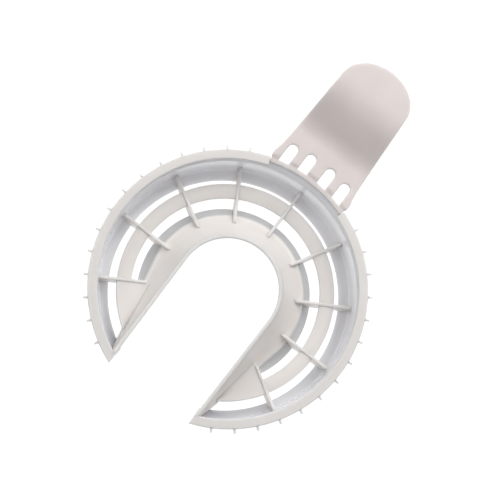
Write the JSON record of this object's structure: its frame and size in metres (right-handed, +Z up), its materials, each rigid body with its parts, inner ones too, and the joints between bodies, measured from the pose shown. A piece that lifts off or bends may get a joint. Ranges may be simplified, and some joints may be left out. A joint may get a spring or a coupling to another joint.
{
  "type": "impression tray",
  "caption": "Open U-shaped dental impression tray: round trough with a raised rim, cross ribs and a middle band, retention pins round the edge and a cranked flat handle.",
  "frame": {"origin": "middle of the object's footprint, in the plane of the wall edges that the tray stands on", "axes": "+X from the tongue opening towards the handle's end, +Z up out of the open side of the trough, +Y to the left of someone looking along +X; the tray is a mirror image of itself across the XZ plane"},
  "size_m": [0.098, 0.0706, 0.0221],
  "materials": {
    "tray_plastic": "satin moulded plastic, warm off-white",
    "handle_plastic": "satin moulded plastic, warm off-white, fine grain"
  },
  "bodies": {
    "root": {"rim_flange_left": "tray_plastic", "rim_flange_right": "tray_plastic", "outer_wall": "tray_plastic", "opening_lip": "tray_plastic", "lingual_flange": "tray_plastic", "inner_wall": "tray_plastic", "occlusal_band": "tray_plastic", "heel_floor_left": "tray_plastic", "heel_floor_right": "tray_plastic", "handle": "handle_plastic", "cross_rib_front": "tray_plastic", "cross_rib_left_1": "tray_plastic", "cross_rib_right_1": "tray_plastic", "cross_rib_left_2": "tray_plastic", "cross_rib_right_2": "tray_plastic", "cross_rib_left_3": "tray_plastic", "cross_rib_right_3": "tray_plastic", "cross_rib_left_4": "tray_plastic", "cross_rib_right_4": "tray_plastic", "retention_pin_left_01": "tray_plastic", "retention_pin_right_01": "tray_plastic", "retention_pin_left_02": "tray_plastic", "retention_pin_right_02": "tray_plastic", "retention_pin_left_03": "tray_plastic", "retention_pin_right_03": "tray_plastic", "retention_pin_left_04": "tray_plastic", "retention_pin_right_04": "tray_plastic", "retention_pin_left_05": "tray_plastic", "retention_pin_right_05": "tray_plastic", "retention_pin_left_06": "tray_plastic", "retention_pin_right_06": "tray_plastic", "retention_pin_left_07": "tray_plastic", "retention_pin_right_07": "tray_plastic", "retention_pin_left_08": "tray_plastic", "retention_pin_right_08": "tray_plastic", "retention_pin_left_09": "tray_plastic", "retention_pin_right_09": "tray_plastic", "retention_pin_left_10": "tray_plastic", "retention_pin_right_10": "tray_plastic", "retention_pin_left_11": "tray_plastic", "retention_pin_right_11": "tray_plastic", "retention_pin_left_12": "tray_plastic", "retention_pin_right_12": "tray_plastic", "retention_pin_left_13": "tray_plastic", "retention_pin_right_13": "tray_plastic", "retention_pin_left_14": "tray_plastic", "retention_pin_right_14": "tray_plastic"}
  },
  "joints": []
}
